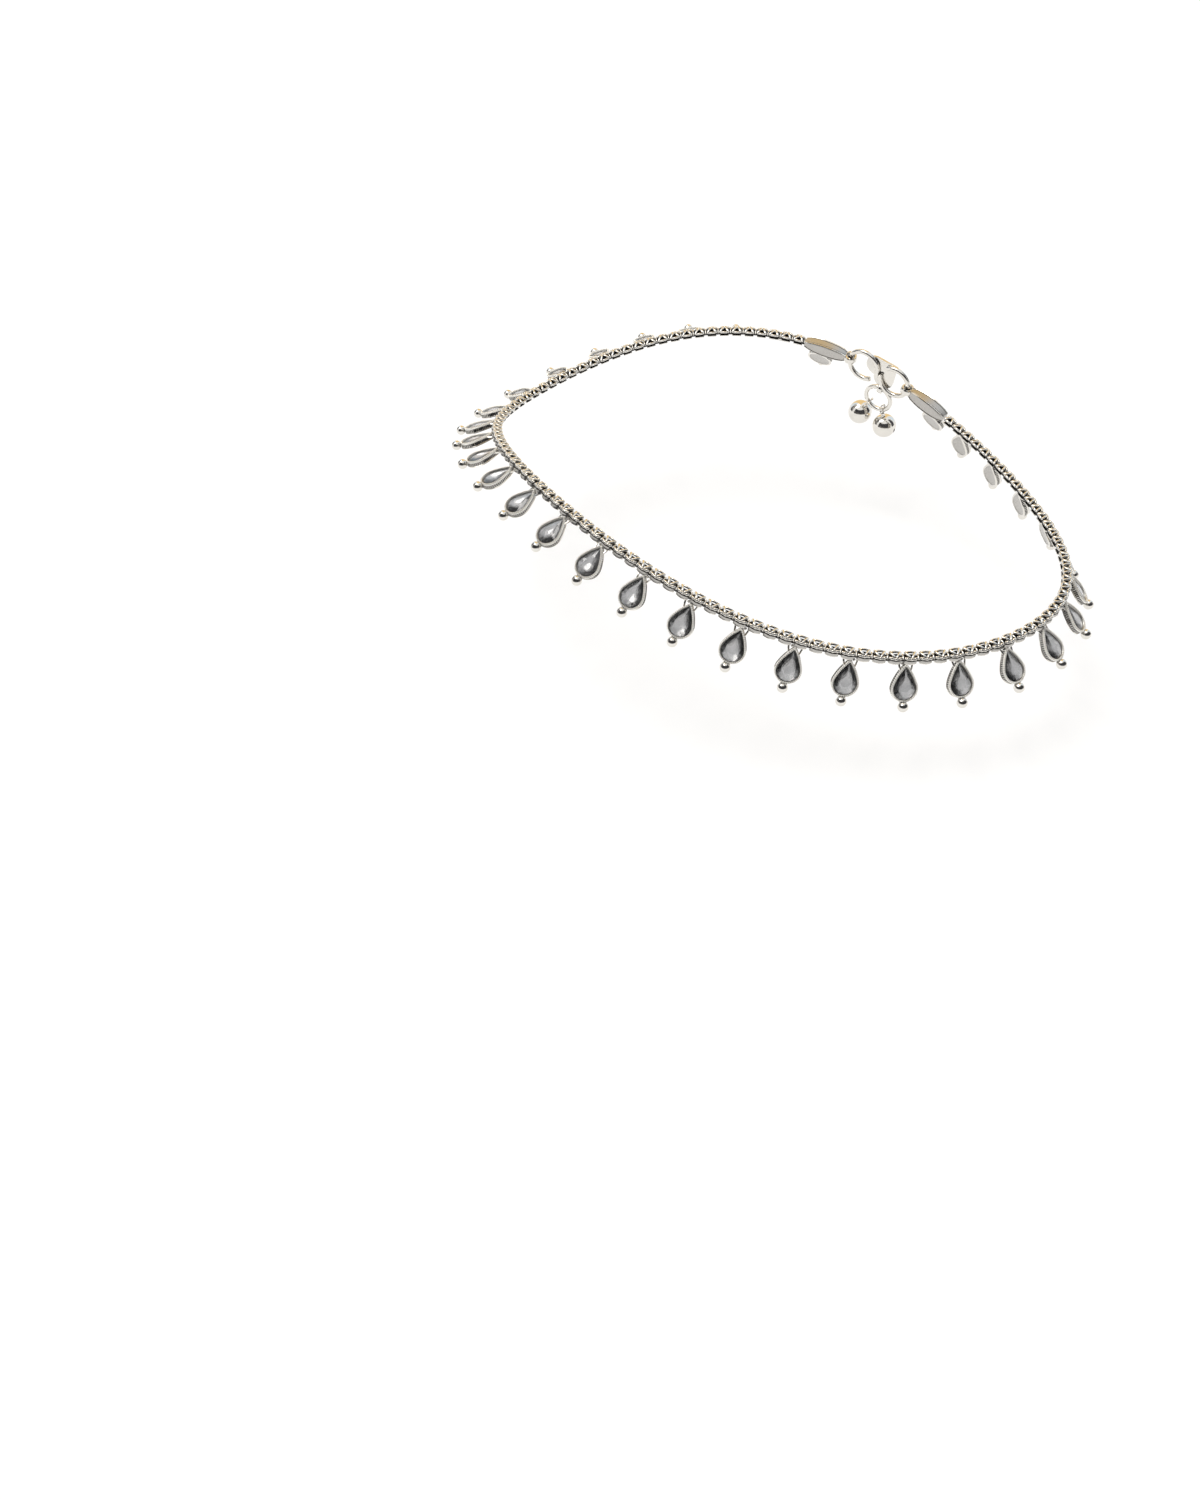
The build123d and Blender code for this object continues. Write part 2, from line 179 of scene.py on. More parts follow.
def link_matrix(index):
    """Frame of one link of the band."""
    middle = link_middle(index)
    return band_matrix(middle - PITCH / 2, middle + PITCH / 2)


def drop_tilt(index):
    """Lean of a drop against its link, degrees."""
    turn = turn_at(link_middle(index))
    lean = sum(part * math.cos(count * turn) for count, part in enumerate(LEAN))
    return lean - link_lean(turn)


def drop_matrix(tilt, along=0.0, top=DROP_TOP):
    """Frame of a drop's middle plane in its link's frame."""
    sine, cosine = math.sin(math.radians(tilt)), math.cos(math.radians(tilt))
    down, facing = Vector((0, sine, -cosine)), Vector((0, cosine, sine))
    return axes_matrix(Vector((along, DROP_FORWARD, -top)), Vector((1, 0, 0)), down, facing)


# =================================== shapes ===================================


class Shape:
    """Corners and faces of a piece while it is made, each face with its material's place."""

    def __init__(self):
        self.corners = []
        self.faces = []
        self.skins = []

    def put(self, corners, faces, skin=0, matrix=None):
        """Add corners and the faces between them, all of one material."""
        base = len(self.corners)
        if matrix is not None:
            corners = [matrix @ Vector(corner) for corner in corners]
        self.corners += [tuple(corner) for corner in corners]
        self.faces += [[base + corner for corner in face] for face in faces]
        self.skins += [skin] * len(faces)
        return self

    def join(self, other, matrix=None):
        """Add another shape with its materials."""
        kept = list(self.skins)
        self.put(other.corners, other.faces, matrix=matrix)
        self.skins = kept + other.skins
        return self

    def loft(self, rings, skin=0, caps=(True, True), matrix=None, skins=None):
        """Quads between closed rings of equal length, with flat ends.

        skins may give the material of each step round the ring."""
        count = len(rings[0])
        base = len(self.faces)
        faces = []
        for row in range(len(rings) - 1):
            for step in range(count):
                after = (step + 1) % count
                low = row * count
                faces.append([low + step, low + after, low + count + after, low + count + step])
        if caps[0]:
            faces.append(list(range(count))[::-1])
        if caps[1]:
            faces.append([(len(rings) - 1) * count + step for step in range(count)])
        self.put([corner for ring in rings for corner in ring], faces, skin, matrix)
        for step in range((len(rings) - 1) * count if skins else 0):
            self.skins[base + step] = skins[step % count]
        return self

    def closed_loft(self, rings):
        """Quads between closed rings, the last joined to the first."""
        count = len(rings[0])
        total = len(rings)
        faces = []
        for row in range(total):
            for step in range(count):
                after = (step + 1) % count
                low, high = row * count, (row + 1) % total * count
                faces.append([low + step, low + after, high + after, high + step])
        return self.put([corner for ring in rings for corner in ring], faces)

    def mirrored(self):
        """The same shape seen in a mirror across X."""
        other = Shape()
        corners = [(-x, y, z) for x, y, z in self.corners]
        other.put(corners, [face[::-1] for face in self.faces])
        other.skins = list(self.skins)
        return other


def circle(radius, count, phase=0.0):
    """Points of a circle in its own plane."""
    turns = [2 * math.pi * (step + phase) / count for step in range(count)]
    return [(radius * math.cos(turn), radius * math.sin(turn)) for turn in turns]


def soft_box(wide, high, soft):
    """Section of a bar with chamfered corners."""
    x, y = wide / 2, high / 2
    return [
        (x, -y + soft), (x, y - soft), (x - soft, y), (soft - x, y),
        (-x, y - soft), (-x, soft - y), (soft - x, -y), (x - soft, -y),
    ]


def bar(path, section, up=(0, 0, 1), ends=0.75):
    """Rings of a section swept along a path; its first and last rings are drawn in."""
    points = [Vector(point) for point in path]
    upward = Vector(up)
    rings = []
    for step, point in enumerate(points):
        before, after = points[max(step - 1, 0)], points[min(step + 1, len(points) - 1)]
        ahead = (after - before).normalized()
        side = ahead.cross(upward).normalized()
        top = side.cross(ahead)
        rings.append([point + side * x + top * y for x, y in section])
    lead = (points[0] - points[1]).normalized()
    tail = (points[-1] - points[-2]).normalized()
    reach = min(abs(x) for x, _ in section) * (1 - ends) + 0.04
    first = [points[0] + lead * reach + (corner - points[0]) * ends for corner in rings[0]]
    last = [points[-1] + tail * reach + (corner - points[-1]) * ends for corner in rings[-1]]
    return [first, *rings, last]


def ball_rings(radius, around, levels, low=0.04, high=0.96):
    """Rings of a ball about its own middle, from its foot to its top."""
    rings = []
    for level in range(levels + 1):
        polar = math.pi * (low + (high - low) * level / levels)
        wide, up = radius * math.sin(polar), -radius * math.cos(polar)
        rings.append([(x, y, up) for x, y in circle(wide, around)])
    return rings


def hull(points):
    """Faces of the tight skin round a set of points."""
    sketch = bmesh.new()
    for point in points:
        sketch.verts.new(point)
    found = bmesh.ops.convex_hull(sketch, input=sketch.verts[:])
    loose = [part for part in found["geom_interior"] if isinstance(part, bmesh.types.BMVert)]
    bmesh.ops.delete(sketch, geom=loose, context="VERTS")
    flat = math.radians(0.6)
    bmesh.ops.dissolve_limit(sketch, angle_limit=flat, verts=sketch.verts[:], edges=sketch.edges[:])
    bmesh.ops.recalc_face_normals(sketch, faces=sketch.faces[:])
    sketch.verts.index_update()
    corners = [tuple(corner.co) for corner in sketch.verts]
    faces = [[corner.index for corner in face.verts] for face in sketch.faces]
    sketch.free()
    return corners, faces


def mesh_of(name, shape, sharp=38.0):
    """Mesh of a shape, smooth up to an angle between its faces."""
    mesh = bpy.data.meshes.new(name)
    mesh.from_pydata([Vector(corner) * MM for corner in shape.corners], [], shape.faces)
    mesh.polygons.foreach_set("material_index", shape.skins)
    mesh.shade_smooth()
    mesh.set_sharp_from_angle(angle=math.radians(sharp))
    mesh.update()
    return mesh


def piece(name, mesh, materials, nodes, matrix=None):
    """Object of a mesh that stands for its CAD nodes."""
    made = bpy.data.objects.new(name, mesh)
    bpy.context.scene.collection.objects.link(made)
    if not mesh.materials:
        for material in materials:
            mesh.materials.append(material)
    if matrix is not None:
        made.matrix_world = in_metres(matrix)
    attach(made, "root")
    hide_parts(*nodes)
    return made


def in_metres(matrix):
    """The same frame with its origin in metres."""
    scaled = matrix.copy()
    scaled.translation = matrix.translation * MM
    return scaled


# ================================= materials =================================


class Value:
    """A number socket that can be used in a sum."""

    def __init__(self, graph, socket):
        self.graph = graph
        self.socket = socket

    def made(self, operation, first, second=None):
        inputs = [first] if second is None else [first, second]
        node = self.graph.node("ShaderNodeMath", {"operation": operation}, dict(enumerate(inputs)))
        return Value(self.graph, node.outputs[0])

    def __add__(self, other):
        return self.made("ADD", self, other)

    def __radd__(self, other):
        return self.made("ADD", other, self)

    def __sub__(self, other):
        return self.made("SUBTRACT", self, other)

    def __rsub__(self, other):
        return self.made("SUBTRACT", other, self)

    def __mul__(self, other):
        return self.made("MULTIPLY", self, other)

    def __rmul__(self, other):
        return self.made("MULTIPLY", other, self)

    def least(self, other):
        return self.made("MINIMUM", self, other)

    def most(self, other):
        return self.made("MAXIMUM", self, other)

    def clamped(self):
        return self.least(1.0).most(0.0)


class Graph:
    """Nodes of one material or world."""

    def __init__(self, owner):
        owner.use_nodes = True
        self.tree = owner.node_tree
        self.tree.nodes.clear()

    def node(self, kind, settings=None, inputs=None):
        node = self.tree.nodes.new(kind)
        for name, setting in (settings or {}).items():
            setattr(node, name, setting)
        for name, value in (inputs or {}).items():
            self.feed(node.inputs[name], value)
        return node

    def feed(self, socket, value):
        if isinstance(value, Value):
            self.tree.links.new(value.socket, socket)
        elif isinstance(value, bpy.types.NodeSocket):
            self.tree.links.new(value, socket)
        else:
            socket.default_value = value

    def value(self, node, output=0):
        return Value(self, node.outputs[output])

    def noise(self, scale, detail=2.0, roughness=0.5, place=None):
        inputs = {"Scale": scale, "Detail": detail, "Roughness": roughness}
        if place is not None:
            inputs["Vector"] = place
        return self.value(self.node("ShaderNodeTexNoise", {}, inputs), "Fac")

    def blend(self, share, first, second):
        mix = self.node("ShaderNodeMix", {"data_type": "RGBA"}, {0: share, 6: first, 7: second})
        return mix.outputs[2]

    def bump(self, height, strength, distance):
        inputs = {"Height": height, "Strength": strength, "Distance": distance}
        return self.node("ShaderNodeBump", {}, inputs).outputs[0]

    def recess(self, distance):
        """How deep a point lies in a recess, 0 in the open and 1 deep inside."""
        shade = self.node("ShaderNodeAmbientOcclusion", {"samples": 6}, {"Distance": distance})
        return 1 - self.value(shade, "AO")

    def backdrop(self):
        """1 for the rays that show the backdrop: seen, through a stone or in polished metal."""
        path = self.node("ShaderNodeLightPath")
        seen = self.value(path, "Is Camera Ray") + self.value(path, "Is Transmission Ray")
        return (seen + self.value(path, "Is Glossy Ray")).clamped()


def colour(red, green, blue):
    return (red, green, blue, 1.0)


def surface(name, inputs):
    """Material of one principled shader; inputs may be a function of its graph."""
    material = bpy.data.materials.new(name)
    graph = Graph(material)
    given = inputs(graph) if callable(inputs) else inputs
    shader = graph.node("ShaderNodeBsdfPrincipled", {}, given)
    graph.node("ShaderNodeOutputMaterial", {}, {0: shader.outputs[0]})
    return material


def silver_inputs(bright, patina, reach, rough, waves=0.0):
    """Polished silver, darkened where it is recessed, with fine handling marks."""

    def inputs(graph):
        place = graph.node("ShaderNodeTexCoord").outputs["Object"]
        cloud = graph.noise(420.0, 3.0, 0.6, place)
        marks = graph.noise(5200.0, 2.0, 0.7, place)
        dents = graph.noise(900.0, 2.0, 0.5, place)
        recess = ((graph.recess(reach) - 0.45) * 2.2 + (cloud - 0.5) * 0.35).clamped()
        metal = graph.blend(cloud, colour(*(0.92 * part for part in bright)), colour(*bright))
        return {
            "Metallic": 1.0,
            "Base Color": graph.blend(recess, metal, colour(*patina)),
            "Roughness": (rough + recess * 0.35 + (cloud - 0.5) * 0.10).clamped(),
            "Normal": graph.bump(marks * 0.25 + cloud * 0.5 + dents * waves, 0.15, 0.00003),
        }

    return inputs


def foil_painted_shade_inputs(graph):
    """Mottled foil behind a stone, greyed as painted shade that stands for the dark reflections seen in the
    stones.
    """
    cloud = graph.noise(500.0, 2.0, 0.5, graph.node("ShaderNodeTexCoord").outputs["Object"])
    return {
        "Metallic": 1.0,
        "Base Color": graph.blend(cloud, colour(0.36, 0.357, 0.355), colour(0.66, 0.65, 0.64)),
        "Roughness": 0.14 + cloud * 0.16,
    }


def stone_inputs(graph):
    """Clear cut stone with the faintest grey cloud."""
    place = graph.node("ShaderNodeTexCoord").outputs["Object"]
    cloud = graph.noise(260.0, 2.0, 0.5, place)
    return {
        "Base Color": graph.blend(cloud, colour(0.90, 0.91, 0.93), colour(0.97, 0.98, 0.99)),
        "Roughness": cloud * 0.02,
        "IOR": 1.72,
        "Transmission Weight": 1.0,
    }


# The polished silver's colour is its own tone, warmed and dimmed a little past it as painted warm light and
# painted shade.
WARM_LIT_SILVER = (0.80, 0.775, 0.725)
OXIDE = (0.055, 0.052, 0.05)
SOOT = (0.015, 0.014, 0.013)
# The satin silver's colour is darkened as painted shade, standing for the dim reflections on the links'
# front plates.
SHADE_DIMMED_SILVER = (0.50, 0.485, 0.46)
# The heart's face silver is tinted blue as a painted cool reflection.
BLUE_LIT_SILVER = (0.80, 0.82, 0.86)
# The frosted silver's colour is brightened past the polished silver as painted light, for rims and beads
# that stand strongly lit.
FROST_LIT = (0.99, 0.97, 0.92)
PATINA = (0.09, 0.08, 0.07)
silver = surface("polished_silver", silver_inputs(WARM_LIT_SILVER, PATINA, 0.0007, 0.12))
worn = surface("oxidised_silver", silver_inputs(OXIDE, SOOT, 0.0008, 0.42))
# Satin silver darkened as painted shade.
plate = surface("satin_silver_painted_shade", silver_inputs(SHADE_DIMMED_SILVER, PATINA, 0.0005, 0.28))
hammered = surface("hammered_silver", silver_inputs(BLUE_LIT_SILVER, PATINA, 0.0005, 0.10, 4.0))
# The seat backing and the pavilion foil are greyed as painted shade.
backing = surface("stone_backing_painted_shade", foil_painted_shade_inputs)
foil = surface("stone_foil_painted_shade", foil_painted_shade_inputs)
glassy = surface("clear_stone", stone_inputs)
frosted_lit = surface("frosted_silver_painted_light", silver_inputs(FROST_LIT, PATINA, 0.0003, 0.42))

# Places in METALS of what a face is made of.
BRIGHT, DARK, SATIN_SHADED, BACKED, DENTED, FROSTED_LIT = range(6)
GEMS = (glassy, foil)
METALS = (silver, worn, plate, backing, hammered, frosted_lit)


# ==================================== links ====================================

BOW = 0.30                      # ends of a link's front behind its middle
FRONT = LINK_DEEP / 2
BAR_BEADS = (-0.64, 0.0, 0.64)  # swells of the front bar along the link
FRONT_PLATE = (                 # section of the plate: from the bow outward, up
    (-0.34, 0.22), (-0.16, 0.22), (-0.16, 0.10), (-0.02, 0.04), (-0.02, -0.46),
    (0.02, -0.50), (0.02, -0.58), (-0.04, -0.63), (-0.34, -0.63),
)
SOLE = (
    (0.98, 0.5), (0.98, 0.15), (0.55, -0.1), (0.86, -0.70), (0.80, -0.82),
    (-0.80, -0.82), (-0.86, -0.70), (-0.55, -0.1), (-0.98, 0.15), (-0.98, 0.5),
)
KNUCKLE = ((0.36, -0.36), (0.36, 0.06), (0.24, 0.16), (-0.46, 0.16), (-0.56, 0.06), (-0.56, -0.36))


def bow(x):
    """Forward place of a link's bowed front at a place along it."""
    return FRONT - BOW * (x / LINK_HALF) ** 2


def link_shape():
    """Ladder link: beaded front bar, V arms, back bar, front plate, sole and knuckle."""
    shape = Shape()
    top = LINK_HIGH / 2
    stations = [LINK_HALF * share for share in (-0.97, -0.82, -0.5, 0.0, 0.5, 0.82, 0.97)]
    shape.loft(bar([(x, bow(x) - 0.22, top - 0.2) for x in stations], soft_box(0.38, 0.32, 0.1)))
    oval = Matrix.Diagonal((1.1, 1.0, 1.0, 1.0))
    for x in BAR_BEADS:
        seed = Matrix.Translation((x, bow(x) - 0.24, top - 0.22)) @ oval
        shape.loft(ball_rings(0.25, 12, 8), matrix=seed)
    # The plate's front face takes the satin silver darkened as painted shade.
    skins = [DARK] * 3 + [SATIN_SHADED] + [BRIGHT] * (len(FRONT_PLATE) - 4)
    edges = [LINK_HALF * share for share in (-1.0, -0.95, -0.6, 0.0, 0.6, 0.95, 1.0)]
    insets = (0.05, 0.0, 0.0, 0.0, 0.0, 0.0, 0.05)
    rings = [[(x, bow(x) + y - inset, z) for y, z in FRONT_PLATE] for x, inset in zip(edges, insets)]
    shape.loft(rings, skins=skins)
    for side in (-1, 1):
        arm = [(side * 0.15, 0.42, top - 0.14), (side * 0.48, -0.14, top - 0.08),
               (side * 0.82, -0.72, top - 0.12)]
        shape.loft(bar(arm, soft_box(0.42, 0.40, 0.10)))
        post = [(side * 0.70, 0.26, -0.36), (side * 0.70, 0.26, 0.26)]
        shape.loft(bar(post, circle(0.16, 8), (0, 1, 0)))
    back = [(-0.55, -0.78, top - 0.14), (0, -0.80, top - 0.1), (0.55, -0.78, top - 0.14)]
    shape.loft(bar(back, soft_box(0.32, 0.36, 0.1)))
    floor = [(0.93, 0.50), (0.93, -0.70), (-0.93, -0.70), (-0.93, 0.50)]
    shape.loft([[(x, y, z) for x, y in floor] for z in (0.0, 0.14)], DARK)
    soles = [[(x * share, y * share, z) for x, y in SOLE]
             for z, share in ((-0.60, 0.94), (-0.54, 1.0), (-0.34, 1.0))]
    shape.loft(soles)
    ends = (LINK_HALF - 0.25, PITCH - LINK_HALF + 0.25)
    shape.loft([[(x, y, z) for y, z in KNUCKLE] for x in ends], DARK)
    rung = [(PITCH / 2, 0.40, 0.20), (PITCH / 2, -0.1, 0.27), (PITCH / 2, -0.58, 0.22)]
    shape.loft(bar(rung, soft_box(0.30, 0.30, 0.1)))
    return shape


# ==================================== drops ====================================


def pear_arcs(inset):
    """Flank and round arcs of the pear outline, drawn an inset inside it."""
    centre = PEAR_LONG - PEAR_ROUND
    offset = PEAR_FLANK - PEAR_ROUND
    sine = (PEAR_FLANK**2 - centre**2 - offset**2) / (2 * centre * offset)
    angle = math.asin(sine)
    flank_x = -offset * math.cos(angle)
    flank_y = centre + offset * sine
    radius = PEAR_FLANK - inset
    tip_angle = math.acos(-flank_x / radius)
    return centre, angle, flank_x, flank_y, radius, tip_angle, PEAR_ROUND - inset


def pear_ring(inset, count, phase=0.0):
    """Evenly spaced points round the pear, from its tip down its right flank."""
    centre, angle, flank_x, flank_y, radius, tip_angle, round_radius = pear_arcs(inset)
    whole = pear_arcs(0.0)
    flank_long = whole[4] * (whole[5] - angle)
    round_long = PEAR_ROUND * (math.pi / 2 + angle)
    half = flank_long + round_long
    points = []
    for step in range(count):
        run = 2 * half * ((step + phase) % count) / count
        side = 1 if run <= half else -1
        run = run if side == 1 else 2 * half - run
        if run < flank_long:
            turn = tip_angle + (angle - tip_angle) * run / flank_long
            point = (flank_x + radius * math.cos(turn), flank_y - radius * math.sin(turn))
        else:
            turn = -angle + (math.pi / 2 + angle) * (run - flank_long) / round_long
            point = (round_radius * math.cos(turn), centre + round_radius * math.sin(turn))
        points.append((side * point[0], point[1]))
    return points


PEAR_BEADS = 44
ROUND_BEADS = 36
BEAD_RADIUS = 0.175
BEAD_INSET = 0.13
RIM_LOW = 0.1                   # rim below the solid cup's, to leave room for its beads
RIB_DEEP = 0.12                 # grooves in the cup's side
STONE_INSET = 0.325             # outline of the cup in to the stone's girdle
PEAR_SIDES = 8
ROUND_SIDES = 10


def cup_shape(ring, beads):
    """Closed cup with a ribbed side, a rim of milgrain beads and a backed seat."""
    shape = Shape()
    count = 3 * beads
    back, rim = -CUP_DEEP / 2, CUP_DEEP / 2 - RIM_LOW

    def level(inset, high, rib=0.0):
        low = ring(inset, count)
        deep = ring(inset + rib, count)
        return [(*(deep if step % 3 == 0 else low)[step], high) for step in range(count)]

    # The dish behind the cup takes the satin silver darkened as painted shade.
    dish = [level(0.55, back + 0.08), level(0.42, back + 0.07), level(0.36, back)]
    shape.loft(dish, SATIN_SHADED, caps=(True, False))
    foot = [level(0.36, back), level(0.04, back), level(-0.02, back + 0.05), level(-0.02, back + 0.17),
            level(0.04, back + 0.22), level(0.05, back + 0.24, RIB_DEEP)]
    shape.loft(foot, caps=(False, False))
    grooves = [BRIGHT if step % 3 == 1 else DARK for step in range(count)]
    wall = [level(0.05, back + 0.24, RIB_DEEP), level(0.05, rim - 0.25, RIB_DEEP)]
    shape.loft(wall, caps=(False, False), skins=grooves)
    lip = [level(0.05, rim - 0.25, RIB_DEEP), level(0.03, rim - 0.2), level(-0.03, rim - 0.15),
           level(-0.03, rim - 0.05), level(0.02, rim), level(0.27, rim), level(0.30, rim - 0.06)]
    # The lip and the milgrain beads take the frosted silver brightened as painted light.
    shape.loft(lip, FROSTED_LIT, caps=(False, False))
    shape.loft([level(0.30, rim - 0.06), level(0.31, rim - 0.4)], FROSTED_LIT, caps=(False, False))
    # The seat takes the foil greyed as painted shade.
    shape.loft([level(0.31, rim - 0.4), level(0.55, rim - 0.76)], BACKED, caps=(False, True))
    bead = ball_rings(BEAD_RADIUS, 8, 5)
    for x, y in ring(BEAD_INSET, beads, 0.5):
        shape.loft(bead, FROSTED_LIT, matrix=Matrix.Translation((x, y, rim + 0.02)))
    return shape


def ball_under(shape, long, radius):
    """Polished ball with a short neck at the foot of a cup."""
    middle = long + radius - BALL_SINK
    seed = Matrix.Translation((0, middle, BALL_FORWARD))
    shape.loft(ball_rings(radius, 28, 18, 0.02, 0.98), matrix=seed)
    shape.loft(bar([(0, long - 0.2, 0.1), (0, long + 0.2, 0.2)], circle(0.36, 12)))


def pear_drop_shape():
    """Pear cup with its ball and the struts that hold it under a link."""
    shape = cup_shape(pear_ring, PEAR_BEADS)
    ball_under(shape, PEAR_LONG, BALL_RADIUS)
    for side in (-1, 1):
        strut = [(side * 1.12, -0.28, -0.1), (side * 1.02, 0.3, 0.05), (side * 0.90, 0.8, 0.15),
                 (side * 0.74, 1.25, 0.2)]
        shape.loft(bar(strut, soft_box(0.28, 0.28, 0.09)))
        seed = Matrix.Translation((side * 0.52, -0.02, 0.05))
        shape.loft(ball_rings(0.24, 10, 6), matrix=seed)
    shape.loft(bar([(0, -0.42, -0.2), (0, 0.2, -0.1)], soft_box(0.5, 0.5, 0.1)))
    return shape


# ==================================== stones ===================================


def shrunk(points, share):
    """The same points drawn in towards their middle."""
    middle_x = sum(x for x, _ in points) / len(points)
    middle_y = sum(y for _, y in points) / len(points)
    return [(middle_x + share * (x - middle_x), middle_y + share * (y - middle_y)) for x, y in points]


# The foiled facets take the foil greyed as painted shade.
FOILED = -0.27                  # facets wholly below this height under the table are foiled


def stone_shape(ring, sides):
    """Cut stone: table, star, crown and girdle facets over a shallow foiled pavilion."""
    girdle = ring(STONE_INSET, 2 * sides)
    layers = (
        (shrunk(ring(STONE_INSET, sides, 0.5), 0.50), 0.0),
        (shrunk(ring(STONE_INSET, sides), 0.80), -0.12),
        (girdle, -0.24),
        (girdle, -0.28),
        (shrunk(ring(STONE_INSET, sides, 0.5), 0.62), -0.42),
        (shrunk(ring(STONE_INSET, sides), 0.24), -0.56),
        (shrunk(ring(STONE_INSET, sides), 0.03), -0.60),
    )
    points = [(x, y, high) for layer, high in layers for x, y in layer]
    corners, faces = hull(points)
    shape = Shape().put(corners, faces, matrix=Matrix.Translation((0, 0, CUP_DEEP / 2 - RIM_LOW)))
    shape.skins = [int(max(corners[corner][2] for corner in face) < FOILED) for face in faces]
    return shape


# ================================= terminals ==================================


def round_ring(inset, count, phase=0.0):
    """Evenly spaced points round the terminal's bezel, in the drop's frame."""
    middle = COLLAR_LONG + ROUND_BEZEL
    return [(x, y + middle) for x, y in circle(ROUND_BEZEL - inset, count, phase)]


def round_drop_shape():
    """Collar, round cup with its milgrain, and ball."""
    shape = cup_shape(round_ring, ROUND_BEADS)
    ball_under(shape, COLLAR_LONG + 2 * ROUND_BEZEL, TERMINAL_BALL)
    collar = [(0, -0.5, 0.1), (0, COLLAR_LONG + 0.4, 0.1)]
    shape.loft(bar(collar, soft_box(1.5, 1.0, 0.15)))
    for side in (-1, 1):
        for along in (0.0, 0.62):
            seed = Matrix.Translation((side * 0.42, along, 0.62))
            shape.loft(ball_rings(0.3, 10, 6), matrix=seed)
    return shape


LEAF_ROWS = 8
LEAF_START = 0.95
LEAF_PITCH = 0.92
LEAF_ANGLE = 32
EYE_SECTION = (                 # out from the eye's middle, up
    (0.72, -0.5), (0.82, -0.62), (1.08, -0.62), (1.24, -0.42), (1.28, 0.0),
    (1.24, 0.42), (1.08, 0.62), (0.82, 0.62), (0.72, 0.5),
)
LEAF_SECTIONS = (  # along, front, back, half high
    (0.19, 0.72, -0.74, 0.58),
    (1.0, 0.80, -0.85, 0.85),
    (2.2, 0.82, -0.88, 1.08),
    (3.6, 0.82, -0.88, 1.22),
    (5.2, 0.80, -0.86, 1.20),
    (6.6, 0.74, -0.80, 1.10),
    (7.8, 0.66, -0.72, 0.90),
    (8.5, 0.55, -0.60, 0.60),
)


def leaf_section(along, front, back, half):
    """Rounded section across the terminal's casting."""
    soft = 0.28
    outline = [
        (front, -half + soft), (front + 0.08, 0), (front, half - soft), (front - soft, half),
        (back + soft, half), (back, half - soft), (back, soft - half), (back + soft, -half),
        (front - soft, -half),
    ]
    return [(along, y, z) for y, z in outline]


def leaf_shape():
    """Terminal casting: dark body, veined rows of bright leaves, edge wires and eye."""
    shape = Shape()
    # The casting's top, back and underside take the satin silver darkened as painted shade.
    skins = [DARK if step in (0, 1, 2, 8) else SATIN_SHADED for step in range(9)]
    shape.loft([leaf_section(*section) for section in LEAF_SECTIONS], SATIN_SHADED, skins=skins)
    for side in (-1, 1):
        edge = [(along, front - 0.02, side * (half - 0.06)) for along, front, _, half in LEAF_SECTIONS]
        shape.loft(bar(edge, circle(0.15, 8)))
        edge = [(along, back + 0.05, side * (half - 0.08)) for along, _, back, half in LEAF_SECTIONS]
        shape.loft(bar(edge, circle(0.13, 6)))
        for row in range(LEAF_ROWS):
            along = LEAF_START + LEAF_PITCH * row
            half = section_half(along)
            leaf = ball_rings(1.0, 10, 6, 0.06, 0.94)
            size = Matrix.Diagonal((0.33, 0.26, 0.30 + 0.24 * half, 1.0))
            turn = Matrix.Rotation(math.radians(side * LEAF_ANGLE), 4, "Y")
            place = Matrix.Translation((along, 0.86, side * 0.42 * half))
            shape.loft(leaf, matrix=place @ turn @ size)
    eye = []
    for step in range(24):
        turn = 2 * math.pi * step / 24
        eye.append([(TERMINAL_LONG + r * math.cos(turn), r * math.sin(turn), z) for r, z in EYE_SECTION])
    shape.closed_loft(eye)
    return shape


def section_half(along):
    """Half height of the casting at a place along it."""
    for low, high in zip(LEAF_SECTIONS, LEAF_SECTIONS[1:]):
        if along <= high[0]:
            share = (along - low[0]) / (high[0] - low[0])
            return low[3] + share * (high[3] - low[3])
    return LEAF_SECTIONS[-1][3]


def round_drop_matrix():
    """Frame of a round drop in its terminal's frame."""
    return drop_matrix(ROUND_DROP_TILT, ROUND_BEZEL_ALONG, ROUND_BEZEL_TOP)


def terminal_shape():
    """Casting with its round drop."""
    return leaf_shape().join(round_drop_shape(), round_drop_matrix())


# =============================== clasp and bells ==============================


HEART_EDGE = ((0.0, 0.96), (0.06, 1.0), (0.42, 1.0), (0.50, 0.98), (0.74, 0.87))  # high, share
HEART_DOME = ((0.74, 0.87), (0.70, 0.84), (0.80, 0.60), (0.86, 0.30), (0.87, 0.06))
TAB_SECTION = (                 # out from the tab's middle, along
    (0.57, -0.40), (0.60, -0.45), (0.90, -0.45), (0.95, -0.38),
    (0.95, 0.38), (0.90, 0.45), (0.60, 0.45), (0.57, 0.40),
)
BELL_COLLAR = ((0.44, 0.04), (0.40, 0.16), (0.26, 0.24))  # radius, above the ball
BELL_STEM_RADIUS = 0.24
LOOP_STRANDS = 2
LOOP_TWISTS = 7
LOOP_OFFSET = 0.10              # strand's middle from the loop's
LOOP_WIRE = 0.13


